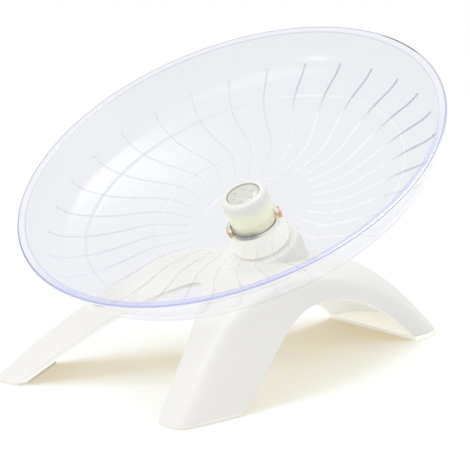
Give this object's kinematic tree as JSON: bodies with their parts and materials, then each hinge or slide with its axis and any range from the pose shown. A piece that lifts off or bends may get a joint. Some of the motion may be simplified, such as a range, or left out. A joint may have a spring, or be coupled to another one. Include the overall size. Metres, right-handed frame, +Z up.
{
  "type": "flying saucer wheel",
  "caption": "Clear saucer-shaped running dish on a tilted ball bearing, with a cream hub cap, over a white three-legged arched stand.",
  "frame": {"origin": "on the floor, under the middle of the outline", "axes": "+Z up; the dish leans down towards -Y, over the two front legs; the single rear leg points to +Y"},
  "size_m": [0.18, 0.1852, 0.1235],
  "materials": {
    "white_plastic": "satin",
    "clear_plastic": "clear",
    "cream_plastic": "satin",
    "soft_pad": "matte",
    "bright_steel": "polished",
    "dark_steel": "satin",
    "bronze": "satin",
    "nylon": "satin"
  },
  "bodies": {
    "stand": {"stand": "white_plastic", "front_left_sole": "soft_pad", "front_right_sole": "soft_pad", "rear_sole": "soft_pad", "axle_bolt": "bright_steel", "bolt_washer": "bright_steel", "spacer_sleeve": "bright_steel", "bearing_inner_ring": "bright_steel", "upper_washer": "bright_steel", "lock_nut": "bright_steel", "nut_insert": "nylon", "cap": "cream_plastic", "cap_badge": "cream_plastic"},
    "dish": {"dish": "clear_plastic", "bearing_outer_ring": "bright_steel", "bearing_shield_top": "dark_steel", "bearing_shield_bottom": "dark_steel", "bearing_clip": "bronze"},
    "cage": {"bearing_cage": "bronze", "bearing_ball_1": "bright_steel", "bearing_ball_2": "bright_steel", "bearing_ball_3": "bright_steel", "bearing_ball_4": "bright_steel", "bearing_ball_5": "bright_steel", "bearing_ball_6": "bright_steel", "bearing_ball_7": "bright_steel"}
  },
  "joints": [
    {"name": "dish_spin", "type": "hinge", "parent": "stand", "child": "dish", "pos_m": [0, 0.00423, 0.0528], "axis": [0, -0.4478, 0.8942], "continuous": true},
    {"name": "cage_orbit", "type": "hinge", "parent": "stand", "child": "cage", "pos_m": [0, 0.00423, 0.0528], "axis": [0, -0.4478, 0.8942], "continuous": true}
  ],
  "couplings": [
    {"joint": "cage_orbit", "follows": "dish_spin", "ratio": 0.6265}
  ]
}
